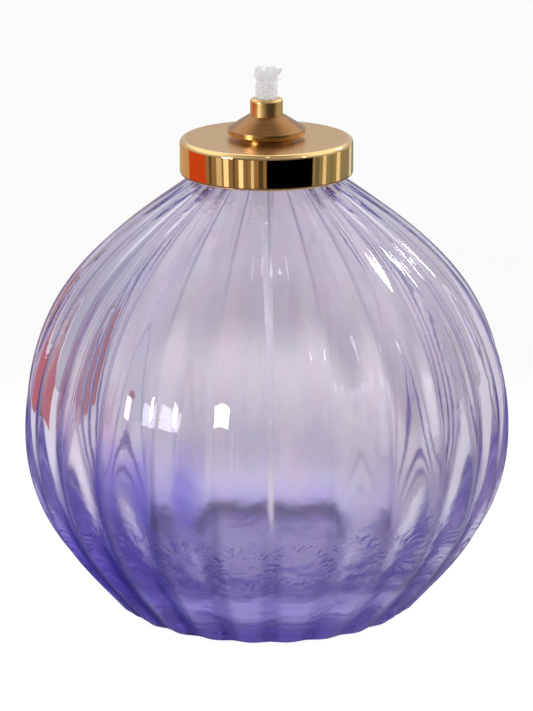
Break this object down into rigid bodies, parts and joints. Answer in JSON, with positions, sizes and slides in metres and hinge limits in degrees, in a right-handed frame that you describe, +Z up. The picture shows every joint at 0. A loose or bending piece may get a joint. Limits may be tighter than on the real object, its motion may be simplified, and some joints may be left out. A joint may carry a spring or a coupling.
{
  "type": "oil lamp",
  "caption": "Ribbed lavender glass globe oil lamp with a turned brass screw cap, a loose brass wick holder and a round glass-fibre wick.",
  "frame": {"origin": "middle of the foot, on the table", "axes": "+Z up along the lamp's axis; -Y faces the viewer"},
  "size_m": [0.0988, 0.0988, 0.1123],
  "materials": {
    "violet_glass": "fire-polished",
    "plaster": "matte plaster",
    "collar_brass": "plain turned",
    "gasket_rubber": "matte",
    "polished_brass": "satin top and mirror skirt",
    "satin_brass": "fine turned satin",
    "tube_brass": "polished",
    "fibre": "white glass fibre"
  },
  "bodies": {
    "globe": {"glass_globe": "violet_glass", "neck_cement": "plaster", "neck_collar": "collar_brass"},
    "gasket": {"cap_gasket": "gasket_rubber"},
    "cap": {"brass_cap": "polished_brass"},
    "holder": {"holder_cone": "satin_brass", "wick_tube": "tube_brass"},
    "wick": {"glass_fibre_wick": "fibre"}
  },
  "joints": [
    {"name": "cap_rise", "type": "slide", "parent": "globe", "child": "gasket", "axis": [0, 0, 1], "range_m": [0, 0.00315]},
    {"name": "cap_turn", "type": "hinge", "parent": "gasket", "child": "cap", "pos_m": [0, 0, 0.0962], "axis": [0, 0, 1], "range_deg": [0, 630]},
    {"name": "holder_lift", "type": "slide", "parent": "cap", "child": "holder", "axis": [0, 0, 1], "range_m": [0, 0.1]},
    {"name": "wick_feed", "type": "slide", "parent": "holder", "child": "wick", "axis": [0, 0, 1], "range_m": [-0.003, 0.012]}
  ],
  "couplings": [
    {"joint": "cap_rise", "follows": "cap_turn", "m_per_rad": 0.00028648}
  ]
}
